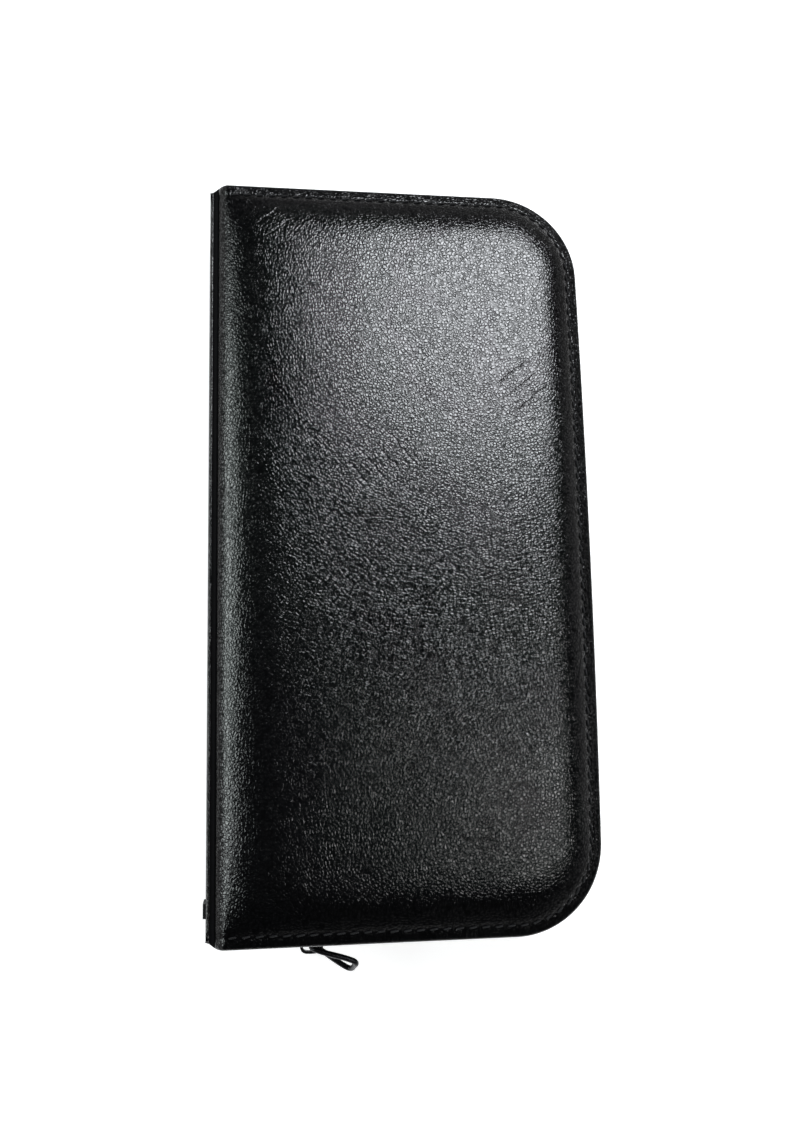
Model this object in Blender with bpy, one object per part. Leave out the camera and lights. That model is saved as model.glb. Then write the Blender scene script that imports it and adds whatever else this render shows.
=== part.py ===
"""A zip-around fountain pen case in padded leather, closed and lying on its rear cover.

Frame: +Z up, +X towards the zip edge, the spine along -X, +Y towards the case's top end.
The origin is on the rear cover's flat underside, midway along its length and 45.35 mm from the
spine's face. Both covers are the same shape, so every layer of a cover is described by its depth
below that cover's outermost face.
"""

from math import cos, pi, radians, sin

import bmesh
import bpy
from mathutils import Matrix, Vector

MM = 0.001

# Overall size, in millimetres like every length below
LENGTH = 180.0
THICKNESS = 30.0
SPINE_FACE_X = -45.35
ZIP_SIDE_X = 45.7
ZIP_EDGE_BOW = 0.65
ZIP_CORNER_RADIUS = 21.0
SPINE_CORNER_RADIUS = 1.5
END_Y = LENGTH / 2
MIDDLE_Z = THICKNESS / 2

# The fold lines, where the spine joins each cover: half a leather in from both outer faces
RIM_DEPTH = 3.0
FOLD_DEPTH = 0.75
FOLD_GAP = 1.0
FOLD_X = SPINE_FACE_X + FOLD_DEPTH
REAR_FOLD_Z = RIM_DEPTH + FOLD_DEPTH
FRONT_FOLD_Z = THICKNESS - REAR_FOLD_Z
COVER_LEFT_X = FOLD_X + FOLD_GAP

# Layers of a cover, as depths below its outermost face
LEATHER = 1.2
CROWN_INSET = 11.5
CROWN_LEFT_X = -29.0
RIM_INSET = 5.0
RIM_LEFT_X = -34.5
SLOPE_STEPS = 4
UNDERSIDE_SHIFT = 0.4
EDGE_ROUND = 0.3
FOAM_DEPTHS = (1.5, 3.7, 4.1)
FOAM_INSET = 8.0
FOAM_MARGIN = 1.0
FOAM_LEFT_X = -31.5
BOARD_DEPTHS = (4.4, 5.4)
BOARD_INSET = 7.4
BOARD_LEFT_X = -41.3
LINING_DEPTHS = (5.6, 6.3)
LINING_INSET = 2.8
LINING_LEFT_X = -41.0
THREAD_INSETS = (2.5, 2.9)
THREAD_DEPTHS = (2.35, 2.8)

# The zip: each tape is sewn flat under the lining and stands up at the rim
TAPE_WALL_INSETS = (1.9, 2.4)
TAPE_LEG_INSET = 6.9
TAPE_LEG_DEPTHS = (4.6, 5.2)
TAPE_TOP = 14.3
TAPE_END_X = -40.0
COIL_INSETS = (0.4, 1.6)
COIL_DEPTHS = (11.9, 14.3)
COIL_START_X = -36.0
COIL_END_X = -30.0
STOP_LENGTH = 2.0
STOP_GAP = 0.8
CORNER_STEPS = 9
SPINE_CORNER_STEPS = 3
BOW_STEPS = 8

# The spine's own layers, from the outside in
SPINE_LEATHER_X = (SPINE_FACE_X, SPINE_FACE_X + LEATHER)
SPINE_BOARD_X = (-43.85, -42.85)
SPINE_LINING_X = (-42.6, -42.0)
SPINE_LEATHER_INSET = 1.0
SPINE_BOARD_INSET = 4.0
SPINE_LINING_INSET = 2.0
SPINE_LEATHER_Z = REAR_FOLD_Z + FOLD_GAP
SPINE_BOARD_Z = 5.2
SPINE_LINING_Z = 5.5
STUB_Y = (-84.2, -80.9)
STUB_X = (-46.3, -45.6)
STUB_Z = (11.0, 19.0)

# Pen loops on the rear cover
LOOP_COUNT = 4
LOOP_PITCH = 19.0
LOOP_HALF_WIDTH = 6.7
LOOP_HEIGHT = 12.0
LOOP_SQUARENESS = 0.7
LOOP_STEPS = 14
ELASTIC = 0.7
BAND_WIDTH = 20.0
BAND_CENTRE_Y = 38.0
BAND_HALF_LENGTH = 38.5
BAND_Z = 7.5
PANEL_Z = (6.6, 7.3)
PANEL_HALF_SIZE = (39.0, 72.0)

# Divider flap, hinged to the spine over the pens
FLAP_Z = (21.0, 22.2)
FLAP_INSET = 6.2
FLAP_LEFT_X = -40.2
FLAP_HINGE_X = -41.0
BINDING_INSET = 4.7
BINDING_OVERLAP = 0.3
HINGE_STRIP_X = (-41.7, -41.1)
HINGE_STRIP_Z = (11.0, 21.0)
HINGE_STRIP_HALF_LENGTH = 80.0

# Slip pocket on the inside of the front cover
POCKET_DEPTHS = (6.6, 7.3)
POCKET_X = (-30.0, 36.0)
POCKET_Y = (-80.0, 30.0)

# Zip slider on the straight run near the lower end of the spine
SLIDER_CENTRE_X = -21.5
SLIDER_LENGTH = 12.0
SLIDER_WIDE = 8.8
SLIDER_NARROW = 7.2
SLIDER_SHOULDER = 4.0
SLIDER_TAPER = 2.0
SLIDER_CHAMFER = 1.2
PLATE_THICKNESS = 1.0
PLATE_GAP = 0.3
POST_INSET = 0.4
POST_LENGTH = 2.8
POST_THICKNESS = 0.8
BRIDGE_HALF_LENGTH = 2.7
BRIDGE_WIDTH = 1.6
BRIDGE_THICKNESS = 0.6
BRIDGE_CLEARANCE = 1.95
BRIDGE_SEAT_GAP = 0.25
BRIDGE_STEPS = 10
BRIDGE_SQUARENESS = 0.6

# Zip pull: one loop of wire, twisted along its length
PULL_LENGTH = 11.0
PULL_HALF_WIDTH = 2.3
PULL_WIRE_RADIUS = 0.66
PULL_ANGLE = radians(26)
PULL_TWIST = radians(32)
PULL_CORNER_RADIUS = 1.1
PULL_CORNER_STEPS = 3
PULL_AXIS_OUT = 1.0
PULL_LEG_STEPS = 9
PULL_SIDES = 8

SMOOTH_ANGLE = radians(35)

OUTER_PLATE_Y = -(END_Y - COIL_INSETS[0] + PLATE_GAP)
INNER_PLATE_Y = -(END_Y - TAPE_WALL_INSETS[1] - PLATE_GAP)
PLATE_FACE_Y = OUTER_PLATE_Y - PLATE_THICKNESS


def clear_scene():
    for obj in list(bpy.data.objects):
        bpy.data.objects.remove(obj)


def material(name, colour, roughness, metallic=0.0):
    made = bpy.data.materials.new(name)
    made.use_nodes = True
    shader = made.node_tree.nodes["Principled BSDF"]
    shader.inputs["Base Color"].default_value = (*colour, 1.0)
    shader.inputs["Roughness"].default_value = roughness
    shader.inputs["Metallic"].default_value = metallic
    return made


def pivot(name, x, y, z, parent=None):
    """An empty on a joint's axis, which the moving pieces are parented to."""
    empty = bpy.data.objects.new(name, None)
    bpy.context.scene.collection.objects.link(empty)
    empty.parent = parent
    start = Vector((x, y, z)) * MM
    if parent:
        start -= parent.matrix_world.translation
    empty.location = start
    bpy.context.view_layer.update()
    return empty


def add_piece(name, bm, finish, parent):
    """Turn a mesh drawn in millimetres at its place into a named object under its pivot."""
    bmesh.ops.recalc_face_normals(bm, faces=bm.faces)
    bm.transform(Matrix.Scale(MM, 4))
    bm.transform(Matrix.Translation(-parent.matrix_world.translation))
    mesh = bpy.data.meshes.new(name)
    bm.to_mesh(mesh)
    bm.free()
    mesh.materials.append(finish)
    piece = bpy.data.objects.new(name, mesh)
    bpy.context.scene.collection.objects.link(piece)
    piece.parent = parent
    mesh.shade_smooth()
    mesh.set_sharp_from_angle(angle=SMOOTH_ANGLE)
    return piece


def loft(sections, closed=False):
    """Skin a row of matching closed outlines; the two end outlines are capped unless it is a ring."""
    bm = bmesh.new()
    rows = [[bm.verts.new(point) for point in section] for section in sections]
    pairs = list(zip(rows, rows[1:]))
    if closed:
        pairs.append((rows[-1], rows[0]))
    for near, far in pairs:
        for i in range(len(near)):
            j = (i + 1) % len(near)
            bm.faces.new((near[i], near[j], far[j], far[i]))
    if not closed:
        bm.faces.new(rows[0])
        bm.faces.new(rows[-1])
    return bm


def box(x_span, y_span, z_span):
    bm = bmesh.new()
    bmesh.ops.create_cube(bm, size=1.0)
    spans = (x_span, y_span, z_span)
    size = [max(span) - min(span) for span in spans]
    centre = [(span[0] + span[1]) / 2 for span in spans]
    bm.transform(Matrix.Translation(centre) @ Matrix.Diagonal((*size, 1.0)))
    return bm


def rear_z(depth):
    return depth


def front_z(depth):
    return THICKNESS - depth


def arc(centre, radius, start, end, steps):
    return [
        (centre[0] + radius * cos(start + (end - start) * i / steps),
         centre[1] + radius * sin(start + (end - start) * i / steps))
        for i in range(steps + 1)
    ]


def zip_side(inset):
    """The bowed long edge between the two round corners, from top to bottom, without its ends."""
    reach = END_Y - ZIP_CORNER_RADIUS
    points = []
    for i in range(1, BOW_STEPS):
        y = reach * (1 - 2 * i / BOW_STEPS)
        points.append((ZIP_SIDE_X - inset + ZIP_EDGE_BOW * (1 - (y / reach) ** 2), y))
    return points


def zip_path(inset, start_x, end_x):
    """Three sides of the case: from the spine along the top, down the zip edge and back."""
    centre_x = ZIP_SIDE_X - ZIP_CORNER_RADIUS
    centre_y = END_Y - ZIP_CORNER_RADIUS
    radius = ZIP_CORNER_RADIUS - inset
    path = [(start_x, END_Y - inset)]
    path += arc((centre_x, centre_y), radius, pi / 2, 0, CORNER_STEPS)
    path += zip_side(inset)
    path += arc((centre_x, -centre_y), radius, 0, -pi / 2, CORNER_STEPS)
    path.append((end_x, inset - END_Y))
    return path


def cover_outline(inset, left_x):
    """A closed outline: the three zip sides moved in by inset, and the spine side at left_x."""
    radius = SPINE_CORNER_RADIUS
    steps = SPINE_CORNER_STEPS
    centre_y = END_Y - inset - radius
    outline = zip_path(inset, left_x + radius, left_x + radius)
    outline += arc((left_x + radius, -centre_y), radius, -pi / 2, -pi, steps)[1:]
    outline += arc((left_x + radius, centre_y), radius, -pi, -1.5 * pi, steps)[:-1]
    return outline


def stacked(rings, side_z):
    """Loft outlines given as (inset, left x, depth) rings of one cover."""
    sections = []
    for inset, left_x, depth in rings:
        sections.append([(x, y, side_z(depth)) for x, y in cover_outline(inset, left_x)])
    return loft(sections)


def slab(inset, left_x, depths, side_z):
    return stacked([(inset, left_x, depths[0]), (inset, left_x, depths[1])], side_z)


def zip_strip(corners, side_z, start_x, end_x):
    """Sweep a cross-section of (inset, depth) corners round the three zip sides."""
    paths = [zip_path(inset, start_x, end_x) for inset, _ in corners]
    sections = []
    for station in zip(*paths):
        sections.append([(x, y, side_z(depth)) for (x, y), (_, depth) in zip(station, corners)])
    return loft(sections)


def rectangle(insets, depths):
    return [
        (insets[0], depths[0]), (insets[0], depths[1]),
        (insets[1], depths[1]), (insets[1], depths[0]),
    ]


def crown_slope():
    """Rings down the padded slope, from the crown's flat top to the rim, as a smooth S."""
    rings = []
    for i in range(SLOPE_STEPS + 1):
        share = i / SLOPE_STEPS
        inset = CROWN_INSET + (RIM_INSET - CROWN_INSET) * share
        left_x = CROWN_LEFT_X + (RIM_LEFT_X - CROWN_LEFT_X) * share
        rings.append((inset, left_x, RIM_DEPTH * (1 - cos(pi * share)) / 2))
    return rings


def cover_leather(side_z):
    """One skin with a padded crown, a flat rim and rounded edges."""
    outer = crown_slope()
    edge = [
        (EDGE_ROUND, COVER_LEFT_X + EDGE_ROUND, RIM_DEPTH),
        (0.0, COVER_LEFT_X, RIM_DEPTH + EDGE_ROUND),
        (0.0, COVER_LEFT_X, RIM_DEPTH + LEATHER - EDGE_ROUND),
        (EDGE_ROUND, COVER_LEFT_X + EDGE_ROUND, RIM_DEPTH + LEATHER),
    ]
    inner = [
        (inset + UNDERSIDE_SHIFT, left_x + UNDERSIDE_SHIFT, depth + LEATHER)
        for inset, left_x, depth in reversed(outer)
    ]
    return stacked(outer + edge + inner, side_z)


def foam_pad(side_z):
    top, foot, bottom = FOAM_DEPTHS
    rings = [
        (CROWN_INSET + FOAM_MARGIN, CROWN_LEFT_X + FOAM_MARGIN, top),
        (FOAM_INSET, FOAM_LEFT_X, foot),
        (FOAM_INSET, FOAM_LEFT_X, bottom),
    ]
    return stacked(rings, side_z)


def zip_tape(side_z):
    wall_out, wall_in = TAPE_WALL_INSETS
    low, high = TAPE_LEG_DEPTHS
    corners = [
        (wall_out, low), (wall_out, TAPE_TOP), (wall_in, TAPE_TOP),
        (wall_in, high), (TAPE_LEG_INSET, high), (TAPE_LEG_INSET, low),
    ]
    return zip_strip(corners, side_z, TAPE_END_X, TAPE_END_X)


def stop_block(x_span, top_end, side_z):
    """A small stop crimped on the coil's line, at the top end or the lower end of the case."""
    direction = 1 if top_end else -1
    y_span = [direction * (END_Y - inset) for inset in COIL_INSETS]
    z_span = [side_z(depth) for depth in COIL_DEPTHS]
    return box(x_span, y_span, z_span)


def build_cover(side, side_z, finish, parent):
    add_piece(f"{side}_cover_leather", cover_leather(side_z), finish["leather"], parent)
    add_piece(f"{side}_foam_pad", foam_pad(side_z), finish["foam"], parent)
    board = slab(BOARD_INSET, BOARD_LEFT_X, BOARD_DEPTHS, side_z)
    add_piece(f"{side}_stiffener_board", board, finish["board"], parent)
    lining = slab(LINING_INSET, LINING_LEFT_X, LINING_DEPTHS, side_z)
    add_piece(f"{side}_lining", lining, finish["lining"], parent)
    thread = zip_strip(rectangle(THREAD_INSETS, THREAD_DEPTHS), side_z, TAPE_END_X, TAPE_END_X)
    add_piece(f"{side}_edge_stitching", thread, finish["thread"], parent)
    add_piece(f"{side}_zip_tape", zip_tape(side_z), finish["tape"], parent)
    coil = zip_strip(rectangle(COIL_INSETS, COIL_DEPTHS), side_z, COIL_START_X, COIL_END_X)
    add_piece(f"{side}_zip_coil", coil, finish["coil"], parent)
    stop_end = COIL_END_X - STOP_GAP
    stop = stop_block((stop_end - STOP_LENGTH, stop_end), False, side_z)
    add_piece(f"{side}_zip_top_stop", stop, finish["metal"], parent)


def build_spine(finish, parent):
    layers = (
        ("spine_leather", SPINE_LEATHER_X, SPINE_LEATHER_INSET, SPINE_LEATHER_Z, "leather"),
        ("spine_stiffener", SPINE_BOARD_X, SPINE_BOARD_INSET, SPINE_BOARD_Z, "board"),
        ("spine_lining", SPINE_LINING_X, SPINE_LINING_INSET, SPINE_LINING_Z, "lining"),
    )
    for name, x_span, inset, low_z, slot in layers:
        y_span = (inset - END_Y, END_Y - inset)
        shape = box(x_span, y_span, (low_z, THICKNESS - low_z))
        add_piece(name, shape, finish[slot], parent)
    stub = box(STUB_X, STUB_Y, STUB_Z)
    add_piece("zip_tape_end_stub", stub, finish["tape"], parent)
    strip_y = (-HINGE_STRIP_HALF_LENGTH, HINGE_STRIP_HALF_LENGTH)
    strip = box(HINGE_STRIP_X, strip_y, HINGE_STRIP_Z)
    add_piece("divider_hinge_strip", strip, finish["leather"], parent)


def loop_side(half_width, height, base_z, centre_x):
    """One face of a pen loop: a rounded arch standing on base_z."""
    points = []
    for i in range(LOOP_STEPS + 1):
        turn = pi * i / LOOP_STEPS
        across = -cos(turn)
        reach = half_width * abs(across) ** LOOP_SQUARENESS
        rise = height * abs(sin(turn)) ** LOOP_SQUARENESS
        points.append((centre_x + (reach if across > 0 else -reach), base_z + rise))
    return points


def loop_band(centre_y):
    """One elastic band: sewn down flat between the loops, arched over each pen."""
    upper = [(-BAND_HALF_LENGTH, BAND_Z + ELASTIC)]
    lower = [(-BAND_HALF_LENGTH, BAND_Z)]
    for i in range(LOOP_COUNT):
        centre_x = (i - (LOOP_COUNT - 1) / 2) * LOOP_PITCH
        outside = LOOP_HALF_WIDTH + ELASTIC
        upper += loop_side(outside, LOOP_HEIGHT, BAND_Z + ELASTIC, centre_x)
        lower += loop_side(LOOP_HALF_WIDTH, LOOP_HEIGHT, BAND_Z, centre_x)
    upper.append((BAND_HALF_LENGTH, BAND_Z + ELASTIC))
    lower.append((BAND_HALF_LENGTH, BAND_Z))
    near_y = centre_y - BAND_WIDTH / 2
    far_y = centre_y + BAND_WIDTH / 2
    sections = []
    for (top_x, top_z), (low_x, low_z) in zip(upper, lower):
        sections.append([
            (top_x, near_y, top_z), (top_x, far_y, top_z),
            (low_x, far_y, low_z), (low_x, near_y, low_z),
        ])
    return loft(sections)


def build_pen_loops(finish, parent):
    half_x, half_y = PANEL_HALF_SIZE
    panel = box((-half_x, half_x), (-half_y, half_y), PANEL_Z)
    add_piece("pen_loop_panel", panel, finish["leather"], parent)
    add_piece("upper_pen_loops", loop_band(BAND_CENTRE_Y), finish["elastic"], parent)
    add_piece("lower_pen_loops", loop_band(-BAND_CENTRE_Y), finish["elastic"], parent)


def flap_binding():
    """Edge binding: a band round the three free sides of the flap, standing just clear of it."""
    low, high = FLAP_Z
    corners = [
        (BINDING_INSET, low - BINDING_OVERLAP), (BINDING_INSET, high + BINDING_OVERLAP),
        (FLAP_INSET - BINDING_OVERLAP, high + BINDING_OVERLAP),
        (FLAP_INSET - BINDING_OVERLAP, low - BINDING_OVERLAP),
    ]
    return zip_strip(corners, rear_z, FLAP_LEFT_X, FLAP_LEFT_X)


def build_divider(finish, parent):
    flap = slab(FLAP_INSET, FLAP_LEFT_X, FLAP_Z, rear_z)
    add_piece("divider_flap", flap, finish["lining"], parent)
    add_piece("divider_edge_binding", flap_binding(), finish["leather"], parent)


def plate_outline():
    """A slider plate from its wide leading end to its narrow trailing end, as (x, z) corners."""
    lead = SLIDER_CENTRE_X - SLIDER_LENGTH / 2
    trail = lead + SLIDER_LENGTH
    wide = SLIDER_WIDE / 2
    narrow = SLIDER_NARROW / 2
    cut = SLIDER_CHAMFER
    shoulder = lead + SLIDER_SHOULDER
    upper = [
        (lead, wide - cut), (lead + cut, wide), (shoulder, wide),
        (shoulder + SLIDER_TAPER, narrow), (trail - cut, narrow), (trail, narrow - cut),
    ]
    return upper + [(x, -half) for x, half in reversed(upper)]


def slider_plate(near_y, far_y):
    outline = plate_outline()
    sections = [[(x, y, MIDDLE_Z + half) for x, half in outline] for y in (near_y, far_y)]
    return loft(sections)


def unite(target, other):
    """Join another solid into the target with a Boolean, then drop it."""
    joint = target.modifiers.new("union", "BOOLEAN")
    joint.operation = "UNION"
    joint.solver = "EXACT"
    joint.object = other
    other.hide_render = True
    other.display_type = "WIRE"


def slider_body(finish, parent):
    """Two plates on either side of the coils, held together by the post at the leading end."""
    outer = slider_plate(PLATE_FACE_Y, OUTER_PLATE_Y)
    body = add_piece("zip_slider_body", outer, finish["metal"], parent)
    inner = slider_plate(INNER_PLATE_Y, INNER_PLATE_Y + PLATE_THICKNESS)
    post_x = SLIDER_CENTRE_X - SLIDER_LENGTH / 2 + POST_INSET
    bite = PLATE_THICKNESS / 2
    post = box(
        (post_x, post_x + POST_LENGTH),
        (OUTER_PLATE_Y - bite, INNER_PLATE_Y + bite),
        (MIDDLE_Z - POST_THICKNESS / 2, MIDDLE_Z + POST_THICKNESS / 2),
    )
    unite(body, add_piece("slider_post_guide", post, finish["metal"], parent))
    unite(body, add_piece("slider_inner_plate_guide", inner, finish["metal"], parent))


def slider_bridge():
    """An arched strip standing on the outer plate, with room for the pull's wire under it."""
    seat_y = PLATE_FACE_Y - BRIDGE_SEAT_GAP
    rise = BRIDGE_CLEARANCE - BRIDGE_SEAT_GAP
    low_z = MIDDLE_Z - BRIDGE_WIDTH / 2
    high_z = MIDDLE_Z + BRIDGE_WIDTH / 2
    sections = []
    for i in range(BRIDGE_STEPS + 1):
        turn = pi * i / BRIDGE_STEPS
        across = -cos(turn)
        along = (1 if across > 0 else -1) * abs(across) ** BRIDGE_SQUARENESS
        lift = abs(sin(turn)) ** BRIDGE_SQUARENESS
        inner_x = SLIDER_CENTRE_X + along * (BRIDGE_HALF_LENGTH - BRIDGE_THICKNESS)
        inner_y = seat_y - lift * rise
        outer_x = SLIDER_CENTRE_X + along * BRIDGE_HALF_LENGTH
        outer_y = seat_y - lift * (rise + BRIDGE_THICKNESS)
        sections.append([
            (inner_x, inner_y, low_z), (inner_x, inner_y, high_z),
            (outer_x, outer_y, high_z), (outer_x, outer_y, low_z),
        ])
    return loft(sections)


def pull_outline():
    """The link before it is twisted: (distance from the hinge pin, offset across), round the loop."""
    radius = PULL_CORNER_RADIUS
    half = PULL_HALF_WIDTH
    steps = PULL_CORNER_STEPS
    far = PULL_LENGTH - radius
    leg = [radius + (far - radius) * i / PULL_LEG_STEPS for i in range(1, PULL_LEG_STEPS)]
    outline = arc((far, half - radius), radius, 0, pi / 2, steps)
    outline += [(along, half) for along in reversed(leg)]
    outline += arc((radius, half - radius), radius, pi / 2, pi, steps)
    outline += arc((radius, radius - half), radius, pi, 1.5 * pi, steps)
    outline += [(along, -half) for along in leg]
    outline += arc((far, radius - half), radius, -pi / 2, 0, steps)
    return outline


def pull_path():
    """The wire's centre line: it starts upright in the bridge and twists towards its tip."""
    along_axis = Vector((cos(PULL_ANGLE), -sin(PULL_ANGLE), 0.0))
    side_axis = Vector((-sin(PULL_ANGLE), -cos(PULL_ANGLE), 0.0))
    pin = Vector((SLIDER_CENTRE_X, PLATE_FACE_Y - PULL_AXIS_OUT, MIDDLE_Z))
    points = []
    for along, across in pull_outline():
        twist = PULL_TWIST * (1 - cos(pi * along / PULL_LENGTH)) / 2
        offset = side_axis * (across * sin(twist)) + Vector((0, 0, -across * cos(twist)))
        points.append(pin + along_axis * along + offset)
    return points


def wire_ring(points, radius, sides):
    """A round wire along a closed path, each section square to the path."""
    count = len(points)
    sections = []
    normal = None
    for i, point in enumerate(points):
        along = (points[(i + 1) % count] - points[i - 1]).normalized()
        if normal is None:
            normal = along.orthogonal()
        normal = (normal - along * normal.dot(along)).normalized()
        binormal = along.cross(normal)
        section = []
        for j in range(sides):
            turn = 2 * pi * j / sides
            section.append(point + normal * (radius * cos(turn)) + binormal * (radius * sin(turn)))
        sections.append(section)
    return loft(sections, closed=True)


def finishes():
    return {
        "leather": material("black_leather", (0.018, 0.018, 0.02), 0.45),
        "foam": material("foam", (0.25, 0.25, 0.26), 0.95),
        "board": material("grey_board", (0.32, 0.28, 0.23), 0.9),
        "lining": material("black_suede", (0.03, 0.03, 0.033), 0.95),
        "thread": material("grey_thread", (0.12, 0.12, 0.125), 0.6),
        "tape": material("zip_tape", (0.02, 0.02, 0.022), 0.85),
        "coil": material("nylon_coil", (0.025, 0.025, 0.028), 0.4),
        "elastic": material("elastic", (0.028, 0.028, 0.03), 0.8),
        "metal": material("black_metal", (0.03, 0.03, 0.032), 0.3, 0.9),
    }


def main():
    clear_scene()
    finish = finishes()
    rear = pivot("rear_cover_origin", 0.0, 0.0, 0.0)
    spine = pivot("spine_fold_axis", FOLD_X, 0.0, REAR_FOLD_Z, rear)
    front = pivot("front_fold_axis", FOLD_X, 0.0, FRONT_FOLD_Z, spine)
    flap_z = (FLAP_Z[0] + FLAP_Z[1]) / 2
    divider = pivot("divider_fold_axis", FLAP_HINGE_X, 0.0, flap_z, spine)
    slider = pivot("slider_origin", SLIDER_CENTRE_X, OUTER_PLATE_Y, MIDDLE_Z, rear)
    pull_y = PLATE_FACE_Y - PULL_AXIS_OUT
    pull = pivot("pull_axis", SLIDER_CENTRE_X, pull_y, MIDDLE_Z, slider)

    build_cover("rear", rear_z, finish, rear)
    bottom_end = COIL_START_X - STOP_GAP
    bottom_stop = stop_block((bottom_end - STOP_LENGTH, bottom_end), True, rear_z)
    add_piece("zip_bottom_stop", bottom_stop, finish["metal"], rear)
    build_pen_loops(finish, rear)
    build_spine(finish, spine)
    build_cover("front", front_z, finish, front)
    pocket = box(POCKET_X, POCKET_Y, [front_z(depth) for depth in POCKET_DEPTHS])
    add_piece("front_slip_pocket", pocket, finish["leather"], front)
    build_divider(finish, divider)
    slider_body(finish, slider)
    add_piece("zip_slider_bridge", slider_bridge(), finish["metal"], slider)
    wire = wire_ring(pull_path(), PULL_WIRE_RADIUS, PULL_SIDES)
    add_piece("zip_pull", wire, finish["metal"], pull)


main()
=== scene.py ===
"""The looks of a zip-around fountain pen case in black pebbled leather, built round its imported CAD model.

Lengths are in millimetres until make_mesh() scales them. The case lies on its rear cover: +Z up, +X towards
the zip edge, the spine along -X. Both covers share one shape, drawn as a height above the rim's plane.
"""
import random
from math import atan2, cos, exp, hypot, pi, radians, sin, sqrt

import bmesh
import bpy
import numpy as np
from mathutils import Matrix, Vector


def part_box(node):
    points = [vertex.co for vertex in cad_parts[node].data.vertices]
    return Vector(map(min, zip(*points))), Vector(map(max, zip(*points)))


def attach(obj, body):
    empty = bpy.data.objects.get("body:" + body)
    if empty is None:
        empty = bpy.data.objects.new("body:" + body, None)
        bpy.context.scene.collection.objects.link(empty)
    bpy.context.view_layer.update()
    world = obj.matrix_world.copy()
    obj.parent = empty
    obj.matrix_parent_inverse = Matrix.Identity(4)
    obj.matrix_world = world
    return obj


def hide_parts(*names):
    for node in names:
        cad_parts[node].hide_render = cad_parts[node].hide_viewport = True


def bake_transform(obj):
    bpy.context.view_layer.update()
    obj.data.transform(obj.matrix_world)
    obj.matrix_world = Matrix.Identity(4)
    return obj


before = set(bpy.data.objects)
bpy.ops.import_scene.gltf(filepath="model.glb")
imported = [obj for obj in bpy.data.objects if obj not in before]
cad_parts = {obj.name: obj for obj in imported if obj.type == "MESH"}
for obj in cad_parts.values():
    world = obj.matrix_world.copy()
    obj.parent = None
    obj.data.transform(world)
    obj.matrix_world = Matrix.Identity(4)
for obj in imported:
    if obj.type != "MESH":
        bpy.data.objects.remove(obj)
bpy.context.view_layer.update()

MM = 0.001
random.seed(7)


def node_mm(name):
    """A CAD node's lowest and highest corners, in millimetres."""
    low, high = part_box(name)
    return [value / MM for value in low], [value / MM for value in high]


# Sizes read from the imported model
LEATHER_HIGH = node_mm("front_cover_leather")[1]
SPINE_LOW = node_mm("spine_leather")[0]
TOP_Z = LEATHER_HIGH[2]
END_Y = LEATHER_HIGH[1]
SIDE_X = LEATHER_HIGH[0]
LEFT_X = SPINE_LOW[0]
MIDDLE_Z = TOP_Z / 2

# The covers' outline and section, as in the CAD model
BOW = 0.65
ZIP_SIDE_X = SIDE_X - BOW
CORNER_RADIUS = 21.0
REACH = END_Y - CORNER_RADIUS
RIM_DEPTH = 3.0
RIM_Z = TOP_Z - RIM_DEPTH
SKIN = 1.3

# Shape of the padded crown, as heights above the rim and insets from its edge
EDGE_ROUND = 0.6
LIP_HEIGHT = 0.06
LIP_INSET = 0.8
STITCH_INSET = 2.75
STITCH_GROOVE = 0.22
SLOPE_START = 0.3
SIDE_SLOPE_WIDTH = 5.0
END_SLOPE_WIDTH = 6.2
SLOPE_POWER = 1.8
SLOPE_HEIGHT = 2.5
BORDER_DROOP = 0.3
BORDER = 2.5
DOME_HEIGHT = 0.45
DOME_END = 36.0
SHOULDER_WIDTH = 6.0

# The fold from the cover round to the spine
FOLD_RADIUS = 7.5
FOLD_TURN = radians(62)
FOLD_FIRST_TURN = radians(42.5)
FOLD_START_X = LEFT_X + FOLD_RADIUS * (1 - cos(FOLD_TURN))
FOLD_BOTTOM_Z = RIM_Z - FOLD_RADIUS * sin(FOLD_TURN)
END_ROUND = 6.5
END_POWER = 2.7

# The spine's rolled edge, and the groove between it and the cover, as (x, z) corners
ROLL_RADIUS = 0.5
ROLL_Z = RIM_Z - 2.0
ROLL_TURN = radians(115)
GROOVE = ((LEFT_X + 0.95, RIM_Z - 2.0), (LEFT_X + 1.9, RIM_Z - 2.1))

STITCH_PITCH = 3.0

# Creases left by handling: families of short parallel lines, as (middle, direction, length, how many)
CREASE_WIDTH = 0.4
CREASE_DEPTH = 0.06
CREASE_SPACING = 4.0
FRONT_CREASES = (
    ((-5.0, 20.0), radians(-50), 12.0, 4), ((30.0, 40.0), radians(40), 12.0, 3),
    ((-30.0, 80.0), radians(40), 8.0, 2), ((30.0, -45.0), radians(-30), 10.0, 1),
)
REAR_CREASES = (
    ((-10.0, -50.0), radians(40), 15.0, 2), ((20.0, 15.0), radians(-60), 15.0, 1),
    ((-25.0, 65.0), radians(30), 10.0, 1), ((20.0, 60.0), radians(-20), 12.0, 1),
)


def crease_lines(families):
    """The end points of every crease, laid side by side in each family."""
    lines = []
    for middle, turn, length, count in families:
        along = Vector((cos(turn), sin(turn)))
        aside = Vector((-sin(turn), cos(turn)))
        for i in range(count):
            centre = Vector(middle) + aside * CREASE_SPACING * (i - (count - 1) / 2)
            lines.append((centre - along * length / 2, centre + along * length / 2))
    return lines


def clamp01(value):
    return max(0.0, min(1.0, value))


def smooth(low, high, value):
    share = clamp01((value - low) / (high - low))
    return share * share * (3 - 2 * share)


def bell(centre, width, value):
    return exp(-((value - centre) / width) ** 2)


def edge_x(y):
    """Where the cover's outline ends on the zip side, at this y."""
    over = abs(y) - REACH
    if over <= 0:
        return ZIP_SIDE_X + BOW * (1 - (y / REACH) ** 2)
    return ZIP_SIDE_X - CORNER_RADIUS + sqrt(max(0.0, CORNER_RADIUS ** 2 - over ** 2))


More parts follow.
